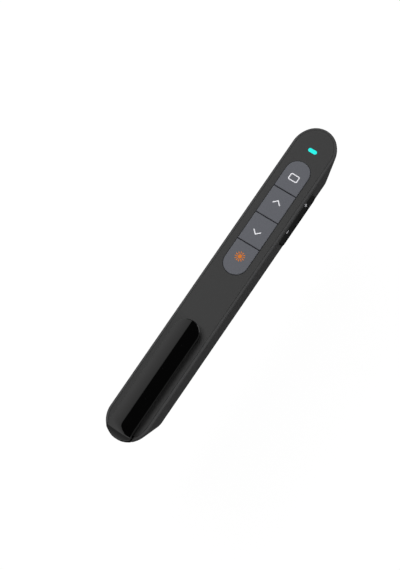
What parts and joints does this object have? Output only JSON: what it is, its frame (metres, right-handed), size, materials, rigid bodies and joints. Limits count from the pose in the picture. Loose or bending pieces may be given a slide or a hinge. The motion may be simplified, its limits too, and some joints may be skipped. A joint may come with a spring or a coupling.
{
  "type": "wireless presentation clicker",
  "caption": "Slim hand-held presentation remote with page keys, a laser key, a side volume rocker, a gloss pocket clip and a receiver stored in its tail.",
  "frame": {"origin": "centre of the flat underside that the clicker rests on", "axes": "+Y along the body towards the laser nose, +X towards the volume rocker, +Z out of the button face"},
  "size_m": [0.0197, 0.1499, 0.0175],
  "materials": {
    "case_plastic": "fine satin moulded plastic, near black",
    "cover_plastic": "soft matt painted plastic, near black",
    "key_plastic": "matt mid grey key caps with printed marks",
    "rocker_plastic": "smooth black with small white marks",
    "clip_gloss": "high gloss black",
    "status_light": "cyan light pipe",
    "keypad_rubber": "thin silicone sheet",
    "board_laminate": "green circuit board laminate",
    "switch_metal": "stamped plated metal",
    "chip_resin": "moulded black resin",
    "screw_steel": "zinc plated steel",
    "laser_brass": "turned brass",
    "laser_glass": "clear lens with a red cast",
    "cell_sleeve": "plain printed sleeve on a steel can",
    "contact_metal": "nickel plated spring steel",
    "plug_steel": "plated steel plug shell",
    "tongue_plastic": "black plug insert"
  },
  "bodies": {
    "housing": {"lower_case": "case_plastic", "top_cover": "cover_plastic", "keypad_membrane": "keypad_rubber", "status_light_pipe": "status_light", "circuit_board": "board_laminate", "key_switches": "switch_metal", "rocker_switches": "switch_metal", "status_led": "status_light", "controller_chip": "chip_resin", "radio_chip": "chip_resin", "crystal": "switch_metal", "board_screws": "screw_steel", "case_screw": "screw_steel", "laser_barrel": "laser_brass", "laser_lens": "laser_glass", "laser_diode": "switch_metal", "laser_window": "laser_glass", "battery_cell": "cell_sleeve", "battery_spring": "contact_metal", "battery_contact_plate": "contact_metal"},
    "clip": {"pocket_clip": "clip_gloss"},
    "screen_button": {"screen_key": "key_plastic"},
    "page_up_button": {"page_up_key": "key_plastic"},
    "page_down_button": {"page_down_key": "key_plastic"},
    "laser_button": {"laser_key": "key_plastic"},
    "rocker": {"volume_rocker": "rocker_plastic"},
    "door": {"battery_door": "case_plastic"},
    "receiver": {"receiver_cap": "case_plastic", "receiver_shell": "plug_steel", "receiver_tongue": "tongue_plastic"}
  },
  "joints": [
    {"name": "screen_press", "type": "slide", "parent": "housing", "child": "screen_button", "axis": [0, 0, -1], "range_m": [0, 0.0003], "stiffness_N_per_m": 1500, "springref_m": -0.0004},
    {"name": "page_up_press", "type": "slide", "parent": "housing", "child": "page_up_button", "axis": [0, 0, -1], "range_m": [0, 0.0003], "stiffness_N_per_m": 1500, "springref_m": -0.0004},
    {"name": "page_down_press", "type": "slide", "parent": "housing", "child": "page_down_button", "axis": [0, 0, -1], "range_m": [0, 0.0003], "stiffness_N_per_m": 1500, "springref_m": -0.0004},
    {"name": "laser_press", "type": "slide", "parent": "housing", "child": "laser_button", "axis": [0, 0, -1], "range_m": [0, 0.0003], "stiffness_N_per_m": 1500, "springref_m": -0.0004},
    {"name": "volume_rock", "type": "hinge", "parent": "housing", "child": "rocker", "pos_m": [0.0069, 0.0379, 0.00965], "axis": [0, 0, 1], "range_deg": [-1.5, 1.5], "stiffness_Nm_per_rad": 0.4},
    {"name": "clip_flex", "type": "hinge", "parent": "housing", "child": "clip", "pos_m": [0, -0.0725, 0.0125], "axis": [1, 0, 0], "range_deg": [0, 3.5], "stiffness_Nm_per_rad": 1.2},
    {"name": "door_swing", "type": "hinge", "parent": "housing", "child": "door", "pos_m": [0, 0.0038, 0], "axis": [1, 0, 0], "range_deg": [0, 70]},
    {"name": "receiver_draw", "type": "slide", "parent": "housing", "child": "receiver", "axis": [0, -1, 0], "range_m": [0, 0.024]}
  ]
}
